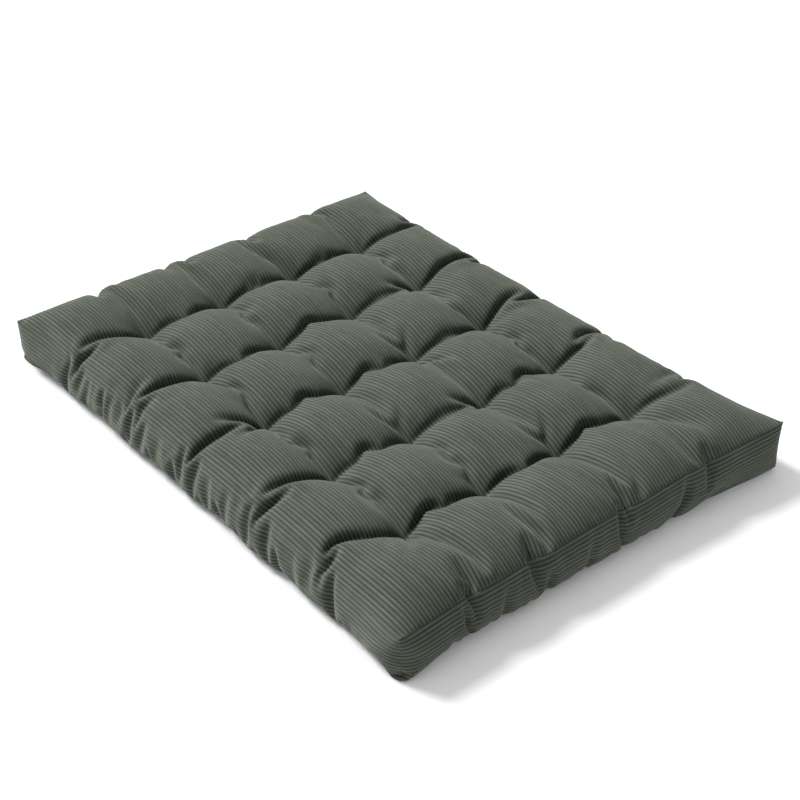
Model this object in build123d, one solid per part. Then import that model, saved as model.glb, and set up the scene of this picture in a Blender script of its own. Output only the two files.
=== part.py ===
from build123d import *
import os

# A tufted futon mattress lying flat. Millimetres, +Z up, +X towards the foot end, origin on the
# floor under the middle of the mattress. The cover is a top panel, a bottom panel and four boxing
# strips. Inside it a foam core lies between two layers of batting, and twine ties pull the two
# panels together at every tuft.

# Overall size
LENGTH = 1900.0
WIDTH = 1400.0
TOP_SEAM_HEIGHT = 150.0      # floor to the seam between the boxing and the top panel
CROWN = 50.0                 # how far the pillows of the top panel stand above that seam
SHOULDER = 150.0             # how far in from the seam the crown reaches its full height
SHOULDER_ROUNDING = 250.0

# Cover
COVER_THICKNESS = 3.0        # ribbed corduroy, ground cloth and pile together
THREAD_DIAMETER = 1.2
CLOSING_THREAD_DIAMETER = 1.6
CLOSING_LENGTH = 520.0       # the last stretch of seam, sewn by hand after filling
CLOSING_GAP = 1.0            # between the end of one thread and the start of the next

# Tufts
TUFT_ROWS = 5                # spaced along the length
TUFT_COLUMNS = 4             # spaced across the width
TOP_PIT_HEIGHT = 92.0        # floor to the outer face of the top panel at a tuft
BOTTOM_PIT_HEIGHT = 42.0     # floor to the outer face of the bottom panel at a tuft
PIT_RADIUS = 14.0            # flat spot that a tie pulls down
TOP_DIMPLE_RADIUS = 118.0
BOTTOM_DIMPLE_RADIUS = 90.0
DIMPLE_BULGE = 0.24          # sagitta of a dimple's wall as a share of its chord

# Ties
TWINE_DIAMETER = 2.6
TIE_SPAN = 12.0              # between the two strands of a tie
KNOT_DIAMETER = 7.0
KNOT_TAIL = 14.0
TWINE_CLEARANCE = 0.3        # around each strand where it passes through a panel
FILL_CLEARANCE = 2.0         # between the filling and the cover, and around a tie

# Filling
CORE_BOTTOM = 40.0
CORE_TOP = 112.0
LAYER_GAP = 0.4              # between the foam core and each layer of batting

CREST_HEIGHT = TOP_SEAM_HEIGHT + CROWN
TWINE_RADIUS = TWINE_DIAMETER / 2
REACH = 10.0                 # how far a cutting shape runs past what it cuts


def tufts():
    """Row number, column number and place of every tuft, evenly spaced both ways."""
    for row in range(1, TUFT_ROWS + 1):
        for column in range(1, TUFT_COLUMNS + 1):
            x = LENGTH * (row / (TUFT_ROWS + 1) - 0.5)
            y = WIDTH * (column / (TUFT_COLUMNS + 1) - 0.5)
            yield row, column, x, y


def at_tufts(shape):
    """A copy of a shape that stands on the Z axis at every tuft."""
    return [Pos(x, y, 0) * shape for _, _, x, y in tufts()]


def slab(length, width, bottom, top):
    """A block centred on the Z axis, between two heights."""
    return Pos(0, 0, bottom) * extrude(Rectangle(length, width), top - bottom)


def crown(inset, drop):
    """The space under the crown, drawn in at its foot by inset and lowered by drop."""
    foot = Pos(0, 0, TOP_SEAM_HEIGHT) * Rectangle(LENGTH - 2 * inset, WIDTH - 2 * inset)
    plateau = Rectangle(LENGTH - 2 * SHOULDER, WIDTH - 2 * SHOULDER)
    hip = loft([foot, Pos(0, 0, CREST_HEIGHT - drop) * plateau])
    rims = hip.edges().filter_by_position(Axis.Z, CREST_HEIGHT - drop - 0.01, CREST_HEIGHT)
    return fillet(rims, SHOULDER_ROUNDING)


def dimple(pit_height, radius, rim_height, grow):
    """The air over a tuft's pit, enlarged by grow all round, with its rim at rim_height."""
    up = 1 if rim_height > pit_height else -1
    low = (PIT_RADIUS + grow, pit_height - up * grow)
    high = (radius + grow, rim_height - up * grow)
    chord = Vector(high[0] - low[0], high[1] - low[1])
    middle = (Vector(*low) + Vector(*high)) / 2 + Vector(-chord.Y, chord.X) * DIMPLE_BULGE * up
    past = rim_height + up * REACH
    wall = ThreePointArc(low, (middle.X, middle.Y), high)
    rest = Polyline(high, (high[0], past), (0, past), (0, low[1]), low)
    return revolve(Plane.XZ * make_face([wall, rest]), Axis.Z)


def top_dimple(grow):
    return dimple(TOP_PIT_HEIGHT, TOP_DIMPLE_RADIUS, CREST_HEIGHT, grow)


def bottom_dimple(grow):
    return dimple(BOTTOM_PIT_HEIGHT, BOTTOM_DIMPLE_RADIUS, 0, grow)


def strand_holes(radius, bottom, top):
    """Two round holes on the Z axis for the strands of a tie."""
    hole = Pos(0, 0, bottom) * extrude(Circle(radius), top - bottom)
    return [Pos(side * TIE_SPAN / 2, 0, 0) * hole for side in (-1, 1)]


def panel_holes(height):
    """The stitch holes of every tuft in a panel whose pits are at this height."""
    radius = TWINE_RADIUS + TWINE_CLEARANCE
    pair = strand_holes(radius, height - REACH, height + REACH)
    return [hole for one in pair for hole in at_tufts(one)]


def top_panel():
    """Crowned sheet with a dimple at every tuft; its rim stands on the boxing."""
    rim = slab(LENGTH, WIDTH, TOP_SEAM_HEIGHT, TOP_SEAM_HEIGHT + COVER_THICKNESS)
    outside = rim + crown(0, 0)
    sheet = outside - crown(COVER_THICKNESS, COVER_THICKNESS)
    ceiling = slab(LENGTH, WIDTH, 0, CREST_HEIGHT - COVER_THICKNESS / 2)
    below_top = slab(LENGTH, WIDTH, 0, TOP_SEAM_HEIGHT + COVER_THICKNESS / 2) + outside
    lining = top_dimple(COVER_THICKNESS) & ceiling
    cups = [cup & below_top for cup in at_tufts(lining)]
    return sheet + cups - at_tufts(top_dimple(0)) - panel_holes(TOP_PIT_HEIGHT)


def bottom_panel():
    """Flat sheet on the floor, drawn up into a shallower dimple at every tuft."""
    sheet = slab(LENGTH, WIDTH, 0, COVER_THICKNESS)
    cup = bottom_dimple(COVER_THICKNESS) & slab(LENGTH, WIDTH, COVER_THICKNESS / 2, TOP_SEAM_HEIGHT)
    return sheet + at_tufts(cup) - at_tufts(bottom_dimple(0)) - panel_holes(BOTTOM_PIT_HEIGHT)


def end_boxing(side):
    """Boxing strip across the head (-1) or the foot (1), the full width of the mattress."""
    strip = slab(COVER_THICKNESS, WIDTH, COVER_THICKNESS, TOP_SEAM_HEIGHT)
    return Pos(side * (LENGTH - COVER_THICKNESS) / 2, 0, 0) * strip


def side_boxing(side):
    """Boxing strip along the right (-1) or the left (1), butting against the end strips."""
    strip = slab(LENGTH - 2 * COVER_THICKNESS, COVER_THICKNESS, COVER_THICKNESS, TOP_SEAM_HEIGHT)
    return Pos(0, side * (WIDTH - COVER_THICKNESS) / 2, 0) * strip


def seam_line(height, diameter):
    """Centre line of a thread that runs round inside the cover, against the boxing."""
    inset = COVER_THICKNESS + diameter / 2
    return Pos(0, 0, height) * Rectangle(LENGTH - 2 * inset, WIDTH - 2 * inset)


def seam_thread(height):
    """Closed square-cornered loop of thread just inside the boxing."""
    half = THREAD_DIAMETER / 2
    loop = offset(seam_line(height, THREAD_DIAMETER), half, kind=Kind.INTERSECTION)
    hole = offset(seam_line(height, THREAD_DIAMETER), -half, kind=Kind.INTERSECTION)
    return Pos(0, 0, -half) * extrude(loop - hole, THREAD_DIAMETER)


def top_seam_thread():
    return seam_thread(TOP_SEAM_HEIGHT - THREAD_DIAMETER / 2)


def closing_box(length):
    """The stretch of the bottom seam at the head end that stays open until the end."""
    head = -LENGTH / 2 + COVER_THICKNESS
    room = slab(4 * FILL_CLEARANCE, length, 0, 4 * COVER_THICKNESS)
    return Pos(head, 0, 0) * room


def bottom_seam_thread():
    """The bottom seam's loop, left open where the closing seam is."""
    loop = seam_thread(COVER_THICKNESS + THREAD_DIAMETER / 2)
    return loop - closing_box(CLOSING_LENGTH + 2 * CLOSING_GAP)


def closing_seam_thread():
    """Straight run of thicker thread across the opening at the head end."""
    radius = CLOSING_THREAD_DIAMETER / 2
    run = Rot(90, 0, 0) * extrude(Circle(radius), CLOSING_LENGTH / 2, both=True)
    return Pos(-LENGTH / 2 + COVER_THICKNESS + radius, 0, COVER_THICKNESS + radius) * run


def corner_seam_thread(end, side):
    """Upright thread in the corner between an end strip and a side strip."""
    radius = THREAD_DIAMETER / 2
    bottom = COVER_THICKNESS + THREAD_DIAMETER + CLOSING_GAP
    top = TOP_SEAM_HEIGHT - THREAD_DIAMETER - CLOSING_GAP
    run = Pos(0, 0, bottom) * extrude(Circle(radius), top - bottom)
    x = end * (LENGTH / 2 - COVER_THICKNESS - radius)
    y = side * (WIDTH / 2 - COVER_THICKNESS - radius)
    return Pos(x, y, 0) * run


def filling(bottom, top):
    """What lies inside the cover between two heights, clear of panels, boxing and ties."""
    inset = COVER_THICKNESS + FILL_CLEARANCE
    walls = slab(LENGTH - 2 * inset, WIDTH - 2 * inset, inset, TOP_SEAM_HEIGHT)
    inside = walls + crown(inset, inset)
    layer = inside & slab(LENGTH, WIDTH, bottom, top)
    shaft_radius = TIE_SPAN / 2 + TWINE_RADIUS + FILL_CLEARANCE
    shaft = extrude(Circle(shaft_radius), CREST_HEIGHT)
    if top > TOP_PIT_HEIGHT - inset:
        layer = layer - at_tufts(top_dimple(inset))
    if bottom < BOTTOM_PIT_HEIGHT + inset:
        layer = layer - at_tufts(bottom_dimple(inset))
    return layer - at_tufts(shaft)


def foam_core():
    return filling(CORE_BOTTOM, CORE_TOP)


def upper_batting():
    return filling(CORE_TOP + LAYER_GAP, CREST_HEIGHT)


def lower_batting():
    return filling(0, CORE_BOTTOM - LAYER_GAP)


def rod(start, end):
    """Straight piece of twine with rounded ends."""
    line = Line(start, end)
    body = Plane(origin=start, z_dir=line % 0) * extrude(Circle(TWINE_RADIUS), line.length)
    return body + Pos(*start) * Sphere(TWINE_RADIUS) + Pos(*end) * Sphere(TWINE_RADIUS)


def tuft_tie(x, y):
    """Loop of twine through both panels, lying in the top pit and knotted in the bottom one."""
    high = TOP_PIT_HEIGHT + TWINE_RADIUS
    low = BOTTOM_PIT_HEIGHT - TWINE_RADIUS
    half = TIE_SPAN / 2
    strands = rod((-half, 0, low), (-half, 0, high)) + rod((half, 0, low), (half, 0, high))
    bars = rod((-half, 0, high), (half, 0, high)) + rod((-half, 0, low), (half, 0, low))
    knot_height = BOTTOM_PIT_HEIGHT - KNOT_DIAMETER / 2
    knot = Pos(0, 0, knot_height) * Sphere(KNOT_DIAMETER / 2)
    ends = [rod((0, 0, knot_height), (tip, 0, knot_height - KNOT_TAIL)) for tip in (-half, half)]
    return Pos(x, y, 0) * (strands + bars + knot + ends)


def write(name, shape):
    export_step(Part(shape.wrapped) if not isinstance(shape, Part) else shape, f"parts/{name}.step")


os.makedirs("parts", exist_ok=True)
write("top_panel", top_panel())
write("bottom_panel", bottom_panel())
write("boxing_head", end_boxing(-1))
write("boxing_foot", end_boxing(1))
write("boxing_right", side_boxing(-1))
write("boxing_left", side_boxing(1))
write("top_seam_thread", top_seam_thread())
write("bottom_seam_thread", bottom_seam_thread())
write("closing_seam_thread", closing_seam_thread())
for end, end_name in ((-1, "head"), (1, "foot")):
    for side, side_name in ((-1, "right"), (1, "left")):
        write(f"corner_seam_thread_{end_name}_{side_name}", corner_seam_thread(end, side))
write("foam_core", foam_core())
write("upper_batting", upper_batting())
write("lower_batting", lower_batting())
for row, column, x, y in tufts():
    write(f"tuft_tie_{row}_{column}", tuft_tie(x, y))
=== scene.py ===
import math

import bpy
import numpy as np
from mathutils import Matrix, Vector


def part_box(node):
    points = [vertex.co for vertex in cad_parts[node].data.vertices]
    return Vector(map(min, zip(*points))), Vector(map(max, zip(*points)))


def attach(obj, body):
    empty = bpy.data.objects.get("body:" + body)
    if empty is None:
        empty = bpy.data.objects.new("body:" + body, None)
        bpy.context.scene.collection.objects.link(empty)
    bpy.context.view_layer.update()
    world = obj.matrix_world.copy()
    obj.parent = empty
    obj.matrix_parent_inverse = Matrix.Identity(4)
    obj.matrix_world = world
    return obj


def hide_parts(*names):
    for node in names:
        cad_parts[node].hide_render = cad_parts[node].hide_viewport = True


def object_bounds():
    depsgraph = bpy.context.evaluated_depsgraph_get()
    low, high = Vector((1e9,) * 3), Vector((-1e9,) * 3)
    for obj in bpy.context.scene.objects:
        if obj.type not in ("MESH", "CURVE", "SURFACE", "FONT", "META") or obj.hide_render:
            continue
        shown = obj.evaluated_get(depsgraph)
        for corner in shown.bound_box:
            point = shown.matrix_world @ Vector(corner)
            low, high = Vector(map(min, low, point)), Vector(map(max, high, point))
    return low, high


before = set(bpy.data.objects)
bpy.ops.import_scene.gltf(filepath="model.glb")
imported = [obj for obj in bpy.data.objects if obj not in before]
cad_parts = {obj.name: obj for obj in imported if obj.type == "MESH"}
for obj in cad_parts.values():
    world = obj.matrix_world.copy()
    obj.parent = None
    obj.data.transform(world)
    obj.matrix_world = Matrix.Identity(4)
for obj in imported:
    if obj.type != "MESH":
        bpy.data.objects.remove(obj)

# The cover is worked out as cloth: six panels of a box-shaped grid are inflated, held by the
# tufting ties and by their seams, and let settle on the floor. Their points then carry the wales.

# ---------------------------------------------------------------- sizes, in metres

packed_low, packed_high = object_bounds()
LENGTH = packed_high.x - packed_low.x
WIDTH = packed_high.y - packed_low.y
ROWS, COLUMNS = 5, 4
TWINE = 0.0026
SEAM_HEIGHT = (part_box("top_seam_thread")[0].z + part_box("top_seam_thread")[1].z) / 2
BOTTOM_SEAM_HEIGHT = 0.008
TOP_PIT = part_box("tuft_tie_3_2")[1].z - TWINE
BOTTOM_PIT = 0.042

# The cut of the cover: the panels are cut larger than the seams they end up at, which gives the
# fullness that the tufting draws into folds.
FULLNESS = 1.065
CUT_LENGTH = LENGTH * FULLNESS
CUT_WIDTH = WIDTH * FULLNESS
CUT_BOXING = 0.150
WALES = 130            # across the top panel
WALE = CUT_WIDTH / WALES
WALE_HEIGHT = 0.0020
WALE_ROUNDNESS = 0.5   # the power of a sine that a wale's section follows
SEAM_MARGIN = 0.004    # the pile rises from nothing to its full height this far in from a seam
OFF_FLOOR = 0.0005     # the lowest that a panel's surface may come

# ---------------------------------------------------------------- cloth grid

# The cloth settles on this grid first, then on grids twice as fine each time, in this many sweeps.
COARSE_CELLS = np.array([42, 30, 3])
SWEEPS = (300, 300, 400, 110)
START_CROWN = 0.03     # how far above its seams the top panel starts
SCATTER = 0.02         # how far each grid's points are scattered at its start, as a share of a cell
SEED = 3
# 1 where the order of a panel's grid turns its normal outward, -1 where it turns it inward.
OUTWARD = {"top": 1, "bottom": -1, "right": 1, "left": -1, "head": -1, "foot": 1}
# How hard the filling pushes each panel out.
PRESSURE = {"top": 1.3, "bottom": 2.0, "right": 0.5, "left": 0.6, "head": 0.65, "foot": 0.65}
GAS = 1.5e-5           # how far one sweep moves the cloth under a pressure of 1
DAMPING = 0.985        # how much of its last move the cloth keeps
WEIGHT = 0.3           # the cloth's weight, as a pressure
BEND = 3e-6            # how much a sweep evens out a bend on the first grid, and 16 times it on each next
THREAD_HOLD, DIAGONAL_HOLD = 1.0, 0.5   # how fully a sweep brings a length back to its cut length
LEAST_GAP = 0.08       # neighbouring points stay this share of a cell apart


def box_panels(cells):
    """The six panels of a box of that many cells, as grids of point numbers, and each point's cell."""
    on_box = np.zeros(cells + 1, bool)
    on_box[[0, -1]] = on_box[:, [0, -1]] = on_box[:, :, [0, -1]] = True
    number = np.full(on_box.shape, -1)
    number[on_box] = np.arange(on_box.sum())
    panels = {
        "top": number[:, :, -1],
        "bottom": number[:, :, 0],
        "right": number[:, 0, :],
        "left": number[:, -1, :],
        "head": number[0],
        "foot": number[-1],
    }
    return panels, np.argwhere(on_box)


def doubled(points):
    """The grid twice as fine both ways, its new points on a cubic through the old ones."""
    for _ in range(2):
        ends = np.concatenate([[2 * points[0] - points[1]], points, [2 * points[-1] - points[-2]]])
        finer = np.empty((2 * len(points) - 1,) + points.shape[1:])
        finer[::2] = points
        finer[1::2] = (9 * (ends[1:-2] + ends[2:-1]) - ends[:-3] - ends[3:]) / 16
        points = np.swapaxes(finer, 0, 1)
    return points


def thread_runs(grids, steps):
    """Lengths that the cloth keeps, in batches with no point twice: (first, second, length, stiffness)."""
    along, across = steps
    diagonal = math.hypot(along, across)
    every, front, back = slice(None), slice(None, -1), slice(1, None)
    kinds = [
        ((front, every), (back, every), along, 0, THREAD_HOLD),
        ((every, front), (every, back), across, 1, THREAD_HOLD),
        ((front, front), (back, back), diagonal, 0, DIAGONAL_HOLD),
        ((front, back), (back, front), diagonal, 0, DIAGONAL_HOLD),
    ]
    batches = []
    for first, second, length, axis, stiffness in kinds:
        for parity in (0, 1):
            pick = (slice(parity, None, 2),) if axis == 0 else (every, slice(parity, None, 2))
            a = np.concatenate([grid[first][pick].ravel() for grid in grids])
            b = np.concatenate([grid[second][pick].ravel() for grid in grids])
            batches.append((a, b, length, stiffness))
    return batches


def tuft_places(cells):
    """Grid numbers of the tuft rows and columns."""
    rows = np.arange(1, ROWS + 1) * cells[0] // (ROWS + 1)
    columns = np.arange(1, COLUMNS + 1) * cells[1] // (COLUMNS + 1)
    return np.meshgrid(rows, columns, indexing="ij")


def start_shape(places, cells):
    """A plain box, dimpled at the tufts, for the cloth to start from."""
    u, v, w = (places / cells).T
    tufts = (np.cos(math.pi * (ROWS + 1) * u) * np.cos(math.pi * (COLUMNS + 1) * v)) ** 2
    rows_in = np.minimum(u, 1 - u) * (ROWS + 1)
    columns_in = np.minimum(v, 1 - v) * (COLUMNS + 1)
    depth = np.clip(np.minimum(rows_in, columns_in), 0, 1)
    tufts = tufts * (depth >= 0.5)
    crown = SEAM_HEIGHT + START_CROWN * np.sin(math.pi * depth / 2)
    z = w * SEAM_HEIGHT
    z = np.where(w == 1, crown - (SEAM_HEIGHT + START_CROWN - TOP_PIT) * tufts, z)
    z = np.where(w == 0, BOTTOM_PIT * tufts, z)
    return np.stack([(u - 0.5) * LENGTH, (v - 0.5) * WIDTH, z], 1)


def tuft_lines(count, reach, *offsets):
    """Places along an edge of that length where it is drawn in: at these offsets from each tuft line."""
    lines = reach * (np.arange(1, count + 1) / (count + 1) - 0.5)
    return np.sort(np.concatenate([lines + offset for offset in offsets]))


GATHER_ZONE = 0.15     # the length of cloth over which a pinch gathers it
SEAM_HOLD = 0.025      # how much of the way to its line each sweep draws a seam
PINCH_WIDTH = 0.040    # how far to each side of it a pinch draws the seam in
TUCK_OFFSET = 0.045    # the long sides' pinches are this far to each side of a tuft row
# Where the top seam is pinched, and where the bottom seam puckers. The foot end's are the photo's.
LONG_PINCHES = tuft_lines(ROWS, LENGTH, -TUCK_OFFSET, TUCK_OFFSET)
HEAD_PINCHES = tuft_lines(COLUMNS, WIDTH, 0.02)
FOOT_PINCHES = np.array([-0.46, -0.25, 0.09, 0.42])
LONG_PUCKERS = tuft_lines(15, LENGTH, 0.01)
HEAD_PUCKERS = tuft_lines(8, WIDTH, -0.01)
FOOT_PUCKERS = np.array([-0.48, -0.37, -0.20, -0.06, 0.11, 0.28, 0.43])
# Long sides and short sides: how far the top seam hangs between its corners, how far a pinch draws
# it in and down, how far the bottom seam is tucked under, and how far each seam bows in.
LONG_SAG, HEAD_SAG, FOOT_SAG = 0.015, 0.004, -0.008
LONG_PINCH, SHORT_PINCH = 0.005, 0.014
LONG_DIP, SHORT_DIP = 0.003, 0.012
LONG_TUCK, SHORT_TUCK = 0.003, -0.002
LONG_BOW, SHORT_BOW = 0.020, 0.006
LONG_LOW_BOW, SHORT_LOW_BOW = 0.036, 0.022
PUCKER = 0.010         # how far a pucker draws the bottom seam in
BOW_REACH = 0.2        # how far from its corners a seam has its full bow and sag
EAR = 0.003            # how far the top corners stand out
# The foot end's left corner: how far out it is pushed, its share of extra height, and their reach.
FULL_CORNER = np.array([0.012, 0.012, 0])
FULL_CORNER_RISE = 0.13
FULL_CORNER_REACH = 0.30


def drawn_up(share, pinches, cut, finished):
    """Where the cloth's edge lies along its seam: flat between the pinches, gathered near each of them."""
    excess = (cut - finished) / len(pinches)
    run = share * cut
    place = run - finished / 2
    for number, pinch in enumerate(pinches):
        middle = pinch + finished / 2 + excess * (number + 0.5)
        t = np.clip((run - middle) / GATHER_ZONE + 0.5, 0, 1)
        place = place - excess * t * t * (3 - 2 * t)
    return place


def drawn_in(places, pinches):
    """1 at each pinch, fading out beside it."""
    return np.exp(-((np.abs(places[:, None] - pinches).min(1) / PINCH_WIDTH) ** 2))


def seam_line(share, pinches, cut, length, half, height, bow, sag, pinch, dip):
    """A seam's places along its side, out from the middle of the cover, and above the floor."""
    along = drawn_up(share, pinches, cut, length)
    near = drawn_in(along, pinches)
    hang = np.clip((length / 2 - np.abs(along)) / BOW_REACH, 0, 1)
    hang = hang * hang * (3 - 2 * hang)
    return along, half - pinch * near - bow * hang, height - sag * hang - dip * near


def plumped(goals):
    """The seams' goals with the foot end's left corner fuller than the others: further out and higher."""
    near = np.exp(-((np.hypot(goals[:, 0] - LENGTH / 2, goals[:, 1] - WIDTH / 2) / FULL_CORNER_REACH) ** 2))
    goals[:, 2] *= 1 + FULL_CORNER_RISE * near
    return goals + near[:, None] * FULL_CORNER


def seam_guides(panels, cells):
    """The points on the top and bottom seams, and where each is drawn to."""
    u, v = np.linspace(0, 1, cells[0] + 1), np.linspace(0, 1, cells[1] + 1)
    points, goals = [], []
    low_length, low_width = LENGTH - 2 * SHORT_TUCK, WIDTH - 2 * LONG_TUCK
    side_top = (LONG_PINCHES, CUT_LENGTH, LENGTH, WIDTH / 2 + EAR, SEAM_HEIGHT)
    side_bottom = (LONG_PUCKERS, CUT_LENGTH, low_length, WIDTH / 2 - LONG_TUCK, BOTTOM_SEAM_HEIGHT)
    side_lines = [
        ("top", side_top + (LONG_BOW, LONG_SAG, LONG_PINCH, LONG_DIP)),
        ("bottom", side_bottom + (LONG_LOW_BOW, 0, PUCKER, 0)),
    ]
    ends = [(-1, 0, HEAD_PINCHES, HEAD_PUCKERS, HEAD_SAG), (1, -1, FOOT_PINCHES, FOOT_PUCKERS, FOOT_SAG)]
    for side, end, pinches, puckers, sag in ends:
        end_top = (pinches, CUT_WIDTH, WIDTH, LENGTH / 2 + EAR, SEAM_HEIGHT)
        end_bottom = (puckers, CUT_WIDTH, low_width, LENGTH / 2 - SHORT_TUCK, BOTTOM_SEAM_HEIGHT)
        end_lines = [
            ("top", end_top + (SHORT_BOW, sag, SHORT_PINCH, SHORT_DIP)),
            ("bottom", end_bottom + (SHORT_LOW_BOW, 0, PUCKER, 0)),
        ]
        for name, line in side_lines:
            x, y, z = seam_line(u, *line)
            points.append(panels[name][:, end])
            goals.append(np.stack([x, side * y, z], 1))
        for name, line in end_lines:
            y, x, z = seam_line(v, *line)
            points.append(panels[name][end, :])
            goals.append(np.stack([side * x, y, z], 1))
    return np.concatenate(points), plumped(np.concatenate(goals))


def held_points(panels, cells):
    """The tufts and the corners, and where they stay."""
    row, column = tuft_places(cells)
    x = (LENGTH * (row / cells[0] - 0.5)).ravel()
    y = (WIDTH * (column / cells[1] - 0.5)).ravel()
    points = [panels["top"][row, column].ravel(), panels["bottom"][row, column].ravel()]
    goals = [np.stack([x, y, np.full(x.size, pit)], 1) for pit in (TOP_PIT, BOTTOM_PIT)]
    corners = [
        ("top", LENGTH / 2 + EAR, WIDTH / 2 + EAR, SEAM_HEIGHT),
        ("bottom", LENGTH / 2 - SHORT_TUCK, WIDTH / 2 - LONG_TUCK, BOTTOM_SEAM_HEIGHT),
    ]
    for name, x, y, height in corners:
        for i, side in ((0, -1), (-1, 1)):
            for j, end in ((0, -1), (-1, 1)):
                points.append([panels[name][i, j]])
                goals.append([[side * x, end * y, height]])
    return np.concatenate(points), plumped(np.concatenate(goals))


CREST = 0.205          # the filling's height in the middle of a pillow
SADDLE = 0.50          # its height midway between two tufts, as a share of the way from pit to crest
SHOULDER = 0.09        # how far in from the seam it may reach its full height
GIVE = 0.030           # how far under that height the cloth feels its whole push
SPREAD = 0.5           # the share of the push that it keeps above that height


def swell(places, count, length):
    """0 on each tuft line and 1 between them and out to the edge."""
    share = np.clip((places / length + 0.5) * (count + 1), 0.5, count + 0.5)
    return np.abs(np.sin(math.pi * share))


def filling_height(x, y):
    """How high the filling stands: a pillow between each four tufts, with a round saddle between two."""
    a, b = swell(x, ROWS, LENGTH), swell(y, COLUMNS, WIDTH)
    saddles = np.sqrt(a * (2 - a)) * (1 - b) + np.sqrt(b * (2 - b)) * (1 - a)
    pillow = SADDLE * saddles + a * b
    inside = np.clip(np.minimum(LENGTH / 2 - np.abs(x), WIDTH / 2 - np.abs(y)) / SHOULDER, 0, 1)
    crown = SEAM_HEIGHT + (CREST - SEAM_HEIGHT) * np.sin(math.pi / 2 * inside)
    return np.minimum(TOP_PIT + (CREST - TOP_PIT) * pillow, crown)


def inflation(points, panels, cell_area):
    """How hard the filling presses each point outward."""
    push = np.zeros_like(points)
    for name, grid in panels.items():
        cloth = points[grid]
        facing = np.cross(cloth[1:, 1:] - cloth[:-1, :-1], cloth[:-1, 1:] - cloth[1:, :-1])
        facing *= 0.5 * OUTWARD[name] * PRESSURE[name]
        if name == "top":
            middle = (cloth[1:, 1:] + cloth[:-1, :-1] + cloth[1:, :-1] + cloth[:-1, 1:]) / 4
            room = filling_height(middle[..., 0], middle[..., 1]) - middle[..., 2]
            facing *= (SPREAD + (1 - SPREAD) * np.clip(room / GIVE, 0, 1))[..., None]
        share = np.zeros_like(cloth)
        share[1:, 1:] += facing
        share[:-1, :-1] += facing
        share[1:, :-1] += facing
        share[:-1, 1:] += facing
        push[grid.ravel()] += share.reshape(-1, 3)
    return push * (0.25 / cell_area)


def unbend(points, panels, amount):
    """Evens out each panel's bends a little."""
    for grid in panels.values():
        cloth = points[grid]
        change = np.zeros_like(cloth)
        for view, moved in ((cloth, change), (np.swapaxes(cloth, 0, 1), np.swapaxes(change, 0, 1))):
            curve = amount * (view[:-2] - 2 * view[1:-1] + view[2:])
            moved[1:-1] += 2 * curve
            moved[:-2] -= curve
            moved[2:] -= curve
        points[grid.ravel()] += change.reshape(-1, 3)


def keep_order(points, grid, axis, gap):
    """Neighbours along the grid's first way stay in order along that axis, at least gap apart."""
    line = points[grid, axis]
    short = np.clip(gap - (line[1:] - line[:-1]), 0, None) * 0.5
    line[1:] += short
    line[:-1] -= short
    points[grid.ravel(), axis] = line.ravel()


def settle(points, panels, cells, level):
    """Lets the cloth settle on one grid."""
    steps = np.array([CUT_LENGTH, CUT_WIDTH, CUT_BOXING]) / cells
    runs = thread_runs([panels["top"], panels["bottom"]], steps[[0, 1]])
    runs += thread_runs([panels["right"], panels["left"]], steps[[0, 2]])
    runs += thread_runs([panels["head"], panels["foot"]], steps[[1, 2]])
    held, held_goal = held_points(panels, cells)
    guided, guide_goal = seam_guides(panels, cells)
    ordered = [(panels[name], 0, steps[0]) for name in ("top", "bottom", "right", "left")]
    ordered += [(panels[name].T, 1, steps[1]) for name in ("top", "bottom")]
    ordered += [(panels[name], 1, steps[1]) for name in ("head", "foot")]
    chance = np.random.default_rng(SEED + level)
    points = points + chance.normal(0, SCATTER * steps[0], points.shape)
    points[held] = held_goal
    before = points.copy()
    for _ in range(SWEEPS[level]):
        moved = (points - before) * DAMPING
        before = points.copy()
        points = points + moved + GAS * inflation(points, panels, steps[0] * steps[1])
        points[:, 2] -= GAS * WEIGHT
        unbend(points, panels, BEND * 16**level)
        for a, b, length, stiffness in runs:
            gap = points[b] - points[a]
            now = np.sqrt((gap * gap).sum(1))
            gap *= (stiffness * 0.5 * (now - length) / now)[:, None]
            points[a] += gap
            points[b] -= gap
        points[guided] += (guide_goal - points[guided]) * SEAM_HOLD
        for grid, axis, step in ordered:
            keep_order(points, grid, axis, LEAST_GAP * step)
        # The floor stops the cloth and takes half of its slide.
        low = points[:, 2] < 0
        points[low, 2] = 0
        points[low, :2] = (points[low, :2] + before[low, :2]) / 2
        points[held] = held_goal
    return points


def simulate_cover():
    """The settled cover: each panel as a grid of points."""
    cells = COARSE_CELLS
    panels, places = box_panels(cells)
    points = start_shape(places, cells)
    for level in range(len(SWEEPS)):
        if level:
            finer, places = box_panels(cells)
            finer_points = np.zeros((len(places), 3))
            for name, grid in finer.items():
                finer_points[grid.ravel()] = doubled(points[panels[name]]).reshape(-1, 3)
            panels, points = finer, finer_points
        points = settle(points, panels, cells, level)
        cells = cells * 2
    return {name: points[grid] for name, grid in panels.items()}


cover = simulate_cover()

# ---------------------------------------------------------------- cloth surface


def sampled(points, places):
    """A grid's rows at these shares of its length, on a cubic through its own rows."""
    last = len(points) - 1
    spot = np.clip(places, 0, 1) * last
    start = np.minimum(spot.astype(int), last - 1)
    t = (spot - start).reshape((-1,) + (1,) * (points.ndim - 1))
    p0, p1, p2, p3 = (points[np.clip(start + k, 0, last)] for k in (-1, 0, 1, 2))
    return p1 + 0.5 * t * (p2 - p0 + t * (2 * p0 - 5 * p1 + 4 * p2 - p3 + t * (3 * (p1 - p2) + p3 - p0)))


def sampled_both_ways(points, along, across):
    """A grid of points at other places along and across it."""
    return np.swapaxes(sampled(np.swapaxes(sampled(points, along), 0, 1), across), 0, 1)


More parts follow.
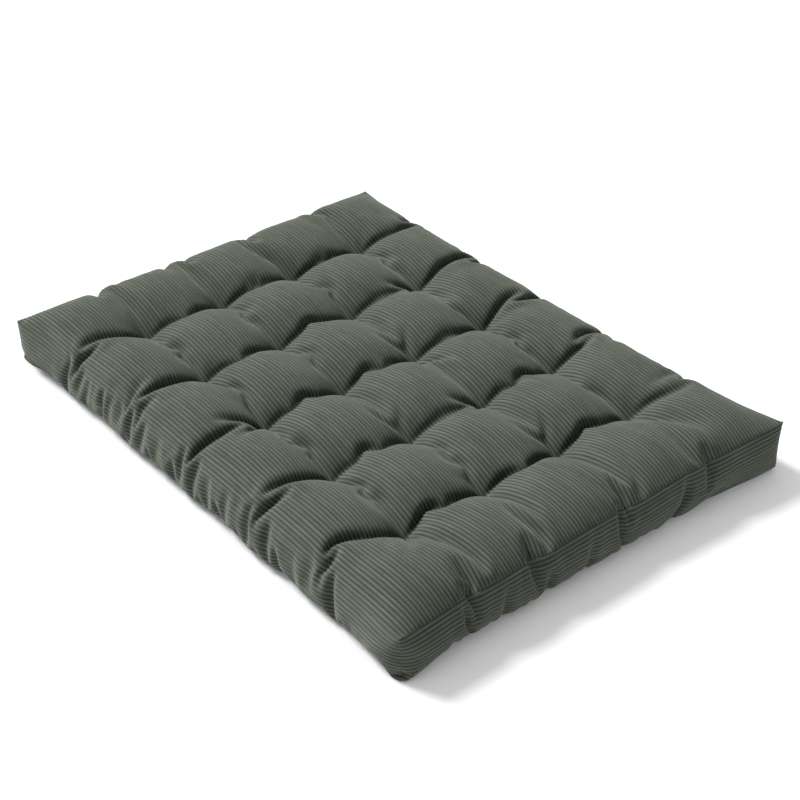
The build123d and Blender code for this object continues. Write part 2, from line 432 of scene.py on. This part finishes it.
def crowded(count, crowd, lines):
    """count + 1 shares from 0 to 1, crowd times closer together at each of the evenly spaced tuft lines."""
    fine = np.linspace(0, 1, 4001)
    weight = 1 + (crowd - 1) * np.cos(math.pi * lines * fine) ** 8
    run = np.concatenate([[0], np.cumsum((weight[1:] + weight[:-1]) / 2)])
    return np.interp(np.linspace(0, run[-1], count + 1), run, fine)


def unit_normals(points, outward):
    """Unit normals of a grid of points."""
    normal = np.cross(np.gradient(points, axis=0), np.gradient(points, axis=1)) * outward
    return normal / np.maximum(np.linalg.norm(normal, axis=2, keepdims=True), 1e-9)


def smooth_piece(name, points, faces):
    """A smooth mesh, linked to the scene."""
    mesh = bpy.data.meshes.new(name)
    mesh.from_pydata(points, [], faces)
    mesh.polygons.foreach_set("use_smooth", np.ones(len(faces), bool))
    piece = bpy.data.objects.new(name, mesh)
    bpy.context.scene.collection.objects.link(piece)
    return piece


def grid_faces(rows, columns):
    """The faces of a grid of points that are numbered row by row."""
    number = np.arange(rows * columns).reshape(rows, columns)
    corners = (number[:-1, :-1], number[1:, :-1], number[1:, 1:], number[:-1, 1:])
    return np.stack([corner.ravel() for corner in corners], 1)


def grid_mesh(name, points, flat, outward):
    """A grid of points as a mesh. Its UV is the place in the flat cloth in metres, along the wales first."""
    faces = grid_faces(*points.shape[:2])
    if outward < 0:
        faces = faces[:, ::-1]
    piece = smooth_piece(name, points.reshape(-1, 3).tolist(), faces.tolist())
    layer = piece.data.uv_layers.new(name="cloth")
    layer.uv.foreach_set("vector", flat.reshape(-1, 2)[faces.ravel()].astype(np.float32).ravel())
    piece.data.update()
    return piece


def wale_rise(across, along_edge, across_edge):
    """Height of the pile over the cloth's ground: round wales with narrow grooves, flat at the seams."""
    wave = np.abs(np.sin(math.pi * across / WALE)) ** WALE_ROUNDNESS
    edge = np.minimum(along_edge, across_edge)
    return WALE_HEIGHT * wave * np.clip(edge / SEAM_MARGIN, 0, 1)


def panel(name, side, cut, along_shares, across_count):
    """A panel of the cover with its wales standing up from it."""
    across_shares = np.linspace(0, 1, across_count + 1)
    points = sampled_both_ways(cover[side], along_shares, across_shares)
    along, across = np.meshgrid(along_shares * cut[0], across_shares * cut[1], indexing="ij")
    rise = wale_rise(across, np.minimum(along, cut[0] - along), np.minimum(across, cut[1] - across))
    points = points + unit_normals(points, OUTWARD[side]) * rise[..., None]
    points[..., 2] = np.maximum(points[..., 2], OFF_FLOOR)
    flat = np.stack([along, across], 2)
    return grid_mesh(name, points, flat, OUTWARD[side])


# ---------------------------------------------------------------- materials


def new_material(name):
    """A material, its node tree and its shader."""
    material = bpy.data.materials.new(name)
    material.use_nodes = True
    return material, material.node_tree, material.node_tree.nodes["Principled BSDF"]


def node(tree, kind, inputs=None, **settings):
    """A node with these settings. An input's value is a number, a colour or another node's output."""
    made = tree.nodes.new(kind)
    for key, value in settings.items():
        setattr(made, key, value)
    for key, value in (inputs or {}).items():
        if isinstance(value, bpy.types.NodeSocket):
            tree.links.new(value, made.inputs[key])
        else:
            made.inputs[key].default_value = value
    return made


def math_node(tree, operation, *values):
    inputs = dict(enumerate(values))
    return node(tree, "ShaderNodeMath", inputs, operation=operation).outputs[0]


def mapped(tree, value, low, high, to_low, to_high):
    inputs = {"Value": value, "From Min": low, "From Max": high, "To Min": to_low, "To Max": to_high}
    return node(tree, "ShaderNodeMapRange", inputs).outputs[0]


def mixed(tree, share, first, second):
    made = node(tree, "ShaderNodeMix", data_type="RGBA")
    for socket, value in ((made.inputs[0], share), (made.inputs[6], first), (made.inputs[7], second)):
        if isinstance(value, bpy.types.NodeSocket):
            tree.links.new(value, socket)
        else:
            socket.default_value = value
    return made.outputs[2]


def noise(tree, place, scale, detail, stretch=(1, 1, 1)):
    squeezed = node(tree, "ShaderNodeMapping", {"Vector": place, "Scale": stretch}).outputs[0]
    inputs = {"Vector": squeezed, "Scale": scale, "Detail": detail, "Roughness": 0.6}
    return node(tree, "ShaderNodeTexNoise", inputs).outputs[0]


def corduroy():
    """Wide-wale cotton corduroy: grooves painted dark for their bare ground and for painted shade, a painted
    highlight along the wales' crests, a soft uneven nap.
    """
    material, tree, shader = new_material("corduroy")
    place = node(tree, "ShaderNodeUVMap", uv_map="cloth").outputs[0]
    split = node(tree, "ShaderNodeSeparateXYZ", {0: place})
    phase = math_node(tree, "FRACT", math_node(tree, "DIVIDE", split.outputs[1], WALE))
    crest = math_node(tree, "SINE", math_node(tree, "MULTIPLY", phase, math.pi))
    pile = math_node(tree, "POWER", crest, WALE_ROUNDNESS)
    clouds = noise(tree, place, scale=4.0, detail=4.0)
    streaks = noise(tree, place, scale=30.0, detail=3.0, stretch=(0.25, 3.0, 1))
    fibres = noise(tree, place, scale=900.0, detail=2.0, stretch=(0.45, 1.0, 1))
    nap = mapped(tree, streaks, 0.3, 0.7, 0.0, 1.0)
    worn = mixed(tree, nap, (0.046, 0.052, 0.041, 1), (0.074, 0.083, 0.066, 1))
    shaded = mixed(tree, mapped(tree, clouds, 0.35, 0.65, 0.0, 0.35), worn, (0.098, 0.108, 0.088, 1))
    # The grooves are painted near-black: partly their bare ground cloth, partly painted shade in them.
    groove = mixed(tree, mapped(tree, pile, 0.25, 0.80, 0.0, 1.0), (0.014, 0.017, 0.012, 1), shaded)
    # A painted highlight along the crest of each wale, stronger or weaker with the streaks.
    crest_highlight = mapped(tree, crest, 0.75, 1.0, 0.0, mapped(tree, streaks, 0.35, 0.65, 0.15, 0.45))
    with_crest_highlight = mixed(tree, crest_highlight, groove, (0.140, 0.153, 0.125, 1))
    flecked = mixed(tree, mapped(tree, fibres, 0.3, 0.7, 0.35, 0.0), with_crest_highlight, (0.024, 0.028, 0.022, 1))
    tree.links.new(flecked, shader.inputs["Base Color"])
    tree.links.new(mapped(tree, nap, 0, 1, 0.96, 0.82), shader.inputs["Roughness"])
    height = math_node(tree, "MULTIPLY_ADD", fibres, 0.5, math_node(tree, "MULTIPLY", pile, 0.8))
    bump = node(tree, "ShaderNodeBump", {"Height": height, "Strength": 0.6, "Distance": 0.0009})
    tree.links.new(bump.outputs[0], shader.inputs["Normal"])
    shader.inputs["Specular IOR Level"].default_value = 0.12
    shader.inputs["Sheen Weight"].default_value = 0.22
    shader.inputs["Sheen Roughness"].default_value = 0.45
    shader.inputs["Sheen Tint"].default_value = (0.74, 0.84, 0.68, 1)
    return material


def spun(name, dark, light, twist):
    """Thread or twine: plies that wind round it."""
    material, tree, shader = new_material(name)
    place = node(tree, "ShaderNodeTexCoord").outputs["Object"]
    plies = {"Vector": place, "Scale": twist, "Distortion": 1.5}
    waves = node(tree, "ShaderNodeTexWave", plies, bands_direction="DIAGONAL").outputs["Fac"]
    tree.links.new(mixed(tree, waves, dark, light), shader.inputs["Base Color"])
    bump = node(tree, "ShaderNodeBump", {"Height": waves, "Strength": 0.7, "Distance": 0.0004})
    tree.links.new(bump.outputs[0], shader.inputs["Normal"])
    shader.inputs["Roughness"].default_value = 0.8
    shader.inputs["Sheen Weight"].default_value = 0.2
    return material


def stuffing(name, dark, light, scale):
    """Foam or batting: a soft, open texture."""
    material, tree, shader = new_material(name)
    place = node(tree, "ShaderNodeTexCoord").outputs["Object"]
    cells = noise(tree, place, scale, detail=5.0)
    tree.links.new(mixed(tree, cells, dark, light), shader.inputs["Base Color"])
    bump = node(tree, "ShaderNodeBump", {"Height": cells, "Strength": 0.8, "Distance": 0.002})
    tree.links.new(bump.outputs[0], shader.inputs["Normal"])
    shader.inputs["Roughness"].default_value = 0.95
    return material


# ---------------------------------------------------------------- the cover


def own(piece, material, slot, *nodes):
    """The piece rides on the mattress, wears that material and stands for these CAD nodes; the slot is not
    used.
    """
    piece.data.materials.clear()
    piece.data.materials.append(material)
    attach(piece, "root")
    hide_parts(*nodes)


cloth = corduroy()
PANEL_ACROSS = 4 * WALES
BOXING_ACROSS = 78
FULL_CUT, LONG_CUT, WIDE_CUT = (CUT_LENGTH, CUT_WIDTH), (CUT_LENGTH, CUT_BOXING), (CUT_WIDTH, CUT_BOXING)
TOP_ROWS = crowded(count=190, crowd=3.0, lines=ROWS + 1)
BOTTOM_ROWS = crowded(count=140, crowd=2.0, lines=ROWS + 1)
LONG_ROWS, WIDE_ROWS = np.linspace(0, 1, 505), np.linspace(0, 1, 361)
# CAD node, side, cut size, where its rows lie along the cut, cells across it, and the filling behind it.
PANELS = [
    ("top_panel", "top", FULL_CUT, TOP_ROWS, PANEL_ACROSS, "upper_batting"),
    ("bottom_panel", "bottom", FULL_CUT, BOTTOM_ROWS, PANEL_ACROSS, "lower_batting"),
    ("boxing_right", "right", LONG_CUT, LONG_ROWS, BOXING_ACROSS, "foam_core"),
    ("boxing_left", "left", LONG_CUT, LONG_ROWS, BOXING_ACROSS, "foam_core"),
    ("boxing_head", "head", WIDE_CUT, WIDE_ROWS, BOXING_ACROSS, "foam_core"),
    ("boxing_foot", "foot", WIDE_CUT, WIDE_ROWS, BOXING_ACROSS, "foam_core"),
]
for name, side, cut, shares, count, filling in PANELS:
    piece = panel(name + "_cloth", side, cut, shares, count)
    own(piece, cloth, "corduroy", name)

# ---------------------------------------------------------------- filling

FILL_CELL = 0.020
FILL_MARGIN = 0.007    # how far inside the cover it keeps
FILL_INSET = 0.030     # how far in from the sides its edge lies
LAYER_GAP = 0.0004     # between one layer and the next
ROUNDED_RIM = 0.03     # the share of a layer's half width over which its edge is rounded
RIM_SQUARE = 0.02      # the square of the share of its thickness that is left at the rim


def innermost(points, sign):
    """The height of the panel's innermost point near each point of the filling's grid."""
    counts = (round(LENGTH / FILL_CELL) + 1, round(WIDTH / FILL_CELL) + 1)
    flat = points.reshape(-1, 3)
    i = np.clip(((flat[:, 0] + LENGTH / 2) / FILL_CELL).round().astype(int), 0, counts[0] - 1)
    j = np.clip(((flat[:, 1] + WIDTH / 2) / FILL_CELL).round().astype(int), 0, counts[1] - 1)
    heights = np.full(counts, np.inf)
    np.minimum.at(heights, (i, j), sign * flat[:, 2])
    padded = np.pad(heights, 1, mode="edge")
    shifts = [padded[a : a + counts[0], b : b + counts[1]] for a in range(3) for b in range(3)]
    return sign * np.min(shifts, axis=0)


def layer_mesh(name, low, high):
    """A closed layer between two height grids, its edge rounded."""
    rows, columns = low.shape
    x, y = np.meshgrid(np.linspace(-1, 1, rows), np.linspace(-1, 1, columns), indexing="ij")
    edge = np.maximum(np.abs(x), np.abs(y))
    middle = (low + high) / 2
    round_off = np.sqrt(np.clip((1 - edge) / ROUNDED_RIM, RIM_SQUARE, 1))
    sheets = [middle + (low - middle) * round_off, middle + (high - middle) * round_off]
    x, y = x * (LENGTH / 2 - FILL_INSET), y * (WIDTH / 2 - FILL_INSET)
    points = np.concatenate([np.stack([x, y, z], 2).reshape(-1, 3) for z in sheets])
    quads = grid_faces(rows, columns)
    number = np.arange(rows * columns).reshape(rows, columns)
    rim = np.concatenate([number[:, 0], number[-1, 1:], number[-2::-1, -1], number[0, -2:0:-1]])
    after, above = np.roll(rim, -1), rows * columns
    walls = np.stack([rim, after, after + above, rim + above], 1)
    faces = np.concatenate([quads[:, ::-1], quads + above, walls])
    return smooth_piece(name, points.tolist(), faces.tolist())


def build_filling():
    """Foam core between two battings, pressed to the shape that the tufting gives the cover."""
    ceiling = innermost(cover["top"], 1) - FILL_MARGIN
    floor = innermost(cover["bottom"], -1) + FILL_MARGIN
    inner = []
    for count, reach in zip(ceiling.shape, (LENGTH, WIDTH)):
        inset = FILL_INSET / reach
        inner.append(np.linspace(inset, 1 - inset, count))
    floor, ceiling = sampled_both_ways(floor, *inner), sampled_both_ways(ceiling, *inner)
    felt = stuffing("batting", (0.62, 0.60, 0.55, 1), (0.80, 0.78, 0.73, 1), scale=180.0)
    foam = stuffing("foam", (0.62, 0.54, 0.36, 1), (0.78, 0.70, 0.52, 1), scale=420.0)
    # CAD node, the shares of the height where it starts and ends, material, slot and how full it is.
    layers = [
        ("lower_batting", 0.0, 0.2, felt, "batting", 0.5),
        ("foam_core", 0.2, 0.6, foam, "foam", 1.0),
        ("upper_batting", 0.6, 1.0, felt, "batting", 0.8),
    ]
    for name, start, end, material, slot, fill in layers:
        low = floor + (ceiling - floor) * start
        high = floor + (ceiling - floor) * end - LAYER_GAP
        piece = layer_mesh(name + "_fill", low, high)
        own(piece, material, slot, name)


build_filling()

# ---------------------------------------------------------------- seams and ties

# A stitch's length, the gap to the next, its thickness and how far its middle stands out.
SEAM_STITCH = (0.0032, 0.0014, 0.0012, 0.0007)
CLOSING_STITCH = (0.0065, 0.0025, 0.0016, 0.0010)
STITCH_SUNK = 0.0006   # how far its ends dip into the cloth
STITCH_END = 0.45      # how thick its ends are, as a share of its middle
ROWS_BESIDE = 3        # the way out at a seam is found from the rows this far in from it


def along_line(line, spacing):
    """Points that far apart on a line."""
    run = np.concatenate([[0], np.cumsum(np.linalg.norm(np.diff(line, axis=0), axis=1))])
    count = max(2, round(run[-1] / spacing))
    places = np.linspace(0, run[-1], count + 1)
    return np.stack([np.interp(places, run, line[:, k]) for k in range(3)], 1)


def stitches(name, lines, stitch, gap, thickness, lift):
    """A row of lockstitches along each line: short threads that dip into the cloth at both ends."""
    sides, rings = 6, np.linspace(0, 1, 5)
    points, faces = [], []
    for line, outward in lines:
        spots = along_line(line, stitch + gap)
        outs = along_line(line + outward, stitch + gap)[: len(spots)]
        outs = outs - spots[: len(outs)]
        for start, end, out in zip(spots[:-1], spots[1:], outs):
            along = end - start
            out = out - along * (out @ along) / max(along @ along, 1e-12)
            out = out / max(np.linalg.norm(out), 1e-9)
            across = np.cross(along, out)
            across = across / max(np.linalg.norm(across), 1e-9)
            base = len(points)
            for t in rings:
                arch = math.sin(math.pi * t)
                middle = start + along * (t * stitch / (stitch + gap)) + out * (lift * arch - STITCH_SUNK)
                radius = thickness / 2 * (STITCH_END + (1 - STITCH_END) * arch)
                for k in range(sides):
                    turn = 2 * math.pi * k / sides
                    spot = middle + radius * (math.cos(turn) * across + math.sin(turn) * out)
                    points.append((spot[0], spot[1], max(spot[2], 0)))
            for ring in range(len(rings) - 1):
                for k in range(sides):
                    a, b = base + ring * sides + k, base + ring * sides + (k + 1) % sides
                    faces.append((a, b, b + sides, a + sides))
            faces.append(tuple(base + k for k in range(sides))[::-1])
            faces.append(tuple(base + (len(rings) - 1) * sides + k for k in range(sides)))
    return smooth_piece(name, points, faces)


def shared_edge(first, second):
    """The seam between two panels, each given by its edge and a row beside it, and which way is out."""
    line, inside_first = first
    inside_second = second[1]
    outward = 2 * line - inside_first - inside_second
    return line, outward


def edge(side, axis, end):
    """A panel's edge and a row of its points beside it."""
    grid = cover[side] if axis == 0 else np.swapaxes(cover[side], 0, 1)
    return grid[end], grid[end + (ROWS_BESIDE if end == 0 else -ROWS_BESIDE)]


def build_seams():
    """The stitching of the cover's seams, sunk in the groove that it draws."""
    thread = spun("thread", (0.030, 0.036, 0.030, 1), (0.085, 0.098, 0.080, 1), twist=900.0)
    around = []
    for end in (0, -1):
        sides = [("right", 1, 0), ("left", 1, -1), ("head", 0, 0), ("foot", 0, -1)]
        for side, axis, place in sides:
            flat_edge = edge("bottom" if end == 0 else "top", axis, place)
            around.append(shared_edge(flat_edge, edge(side, 1, end)))
    closing_low, closing_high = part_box("closing_seam_thread")
    head_line, head_out = around[2]
    closed = (head_line[:, 1] > closing_low.y) & (head_line[:, 1] < closing_high.y)
    first, last = np.flatnonzero(closed)[[0, -1]]
    sewn = [(head_line[: first + 1], head_out[: first + 1]), (head_line[last:], head_out[last:])]
    pieces = [
        ("top_seam_thread", around[4:], SEAM_STITCH),
        ("bottom_seam_thread", [around[0], around[1], around[3]] + sewn, SEAM_STITCH),
        ("closing_seam_thread", [(head_line[closed], head_out[closed])], CLOSING_STITCH),
    ]
    for end, x in (("head", 0), ("foot", -1)):
        for side, y in (("right", 0), ("left", -1)):
            line = shared_edge(edge(end, 0, y), edge(side, 0, x))
            pieces.append((f"corner_seam_thread_{end}_{side}", [line], SEAM_STITCH))
    for name, lines, size in pieces:
        own(stitches(name + "_stitches", lines, *size), thread, "thread", name)


def finish_ties():
    """The tufting twine keeps its CAD shape."""
    twine = spun("twine", (0.05, 0.06, 0.05, 1), (0.14, 0.16, 0.13, 1), twist=400.0)
    for row in range(1, ROWS + 1):
        for column in range(1, COLUMNS + 1):
            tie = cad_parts[f"tuft_tie_{row}_{column}"]
            tie.data.materials.clear()
            tie.data.materials.append(twine)


build_seams()
finish_ties()

# ---------------------------------------------------------------- studio


def studio_floor():
    """A plain white floor that sweeps up far away, like a studio backdrop."""
    material, _, shader = new_material("studio floor")
    shader.inputs["Base Color"].default_value = (0.42, 0.42, 0.425, 1)
    shader.inputs["Roughness"].default_value = 0.9
    shader.inputs["Specular IOR Level"].default_value = 0.1
    shader.inputs["Emission Color"].default_value = (1, 1, 1, 1)
    shader.inputs["Emission Strength"].default_value = 0.04
    rings, spokes, flat_reach, rise_reach, rise = 24, 64, 12, 30, 16
    points, faces = [(0, 0, 0)], []
    for ring in range(rings + 1):
        t = ring / rings
        radius = flat_reach + rise_reach * math.sin(math.pi / 2 * t)
        height = rise * (1 - math.cos(math.pi / 2 * t))
        for spoke in range(spokes):
            turn = 2 * math.pi * spoke / spokes
            points.append((radius * math.cos(turn), radius * math.sin(turn), height))
    for spoke in range(spokes):
        beside = (spoke + 1) % spokes
        faces.append((0, 1 + spoke, 1 + beside))
        for ring in range(rings):
            inner, outer = 1 + ring * spokes, 1 + (ring + 1) * spokes
            faces.append((inner + spoke, outer + spoke, outer + beside, inner + beside))
    floor = smooth_piece("floor", points, faces)
    floor.data.materials.append(material)
    return floor


def direction(azimuth, elevation):
    """Unit vector from the mattress towards an azimuth and elevation: azimuth 0 is -Y and 90 is +X."""
    a, e = math.radians(azimuth), math.radians(elevation)
    return Vector((math.sin(a) * math.cos(e), -math.cos(a) * math.cos(e), math.sin(e)))


def key_light(azimuth, elevation, spread, strength):
    """One large softbox far away, lighting everything evenly."""
    data = bpy.data.lights.new("key", "SUN")
    data.angle, data.energy = math.radians(spread), strength
    light = bpy.data.objects.new("key", data)
    light.rotation_euler = direction(azimuth, elevation).to_track_quat("Z", "Y").to_euler()
    bpy.context.scene.collection.objects.link(light)


def floor_wash(floor, strength):
    """Soft light from all over the ceiling, kept to the floor: the shadow deepens towards the mattress."""
    data = bpy.data.lights.new("wash", "SUN")
    data.angle, data.energy = math.radians(179), strength
    light = bpy.data.objects.new("wash", data)
    bpy.context.scene.collection.objects.link(light)
    lit = bpy.data.collections.new("washed")
    lit.objects.link(floor)
    light.light_linking.receiver_collection = lit


def studio_world(strength):
    world = bpy.data.worlds.new("studio")
    world.use_nodes = True
    world.node_tree.nodes["Background"].inputs["Color"].default_value = (1, 1, 1, 1)
    world.node_tree.nodes["Background"].inputs["Strength"].default_value = strength
    bpy.context.scene.world = world


def photo_camera():
    """The photograph's camera, fitted to the mattress's corners and tufts."""
    data = bpy.data.cameras.new("camera")
    data.lens, data.sensor_width = 73.6, 36
    camera = bpy.data.objects.new("camera", data)
    toward = direction(azimuth=50.6, elevation=34.4)
    aim, distance = Vector((0.081, 0.017, 0.079)), 4.94
    camera.location = aim + toward * distance
    camera.rotation_euler = toward.to_track_quat("Z", "Y").to_euler()
    bpy.context.scene.collection.objects.link(camera)
    bpy.context.scene.camera = camera


floor_wash(studio_floor(), strength=4.5)
studio_world(strength=0.13)
key_light(azimuth=290, elevation=44, spread=18, strength=6.8)
photo_camera()
bpy.context.scene.view_settings.view_transform = "Standard"
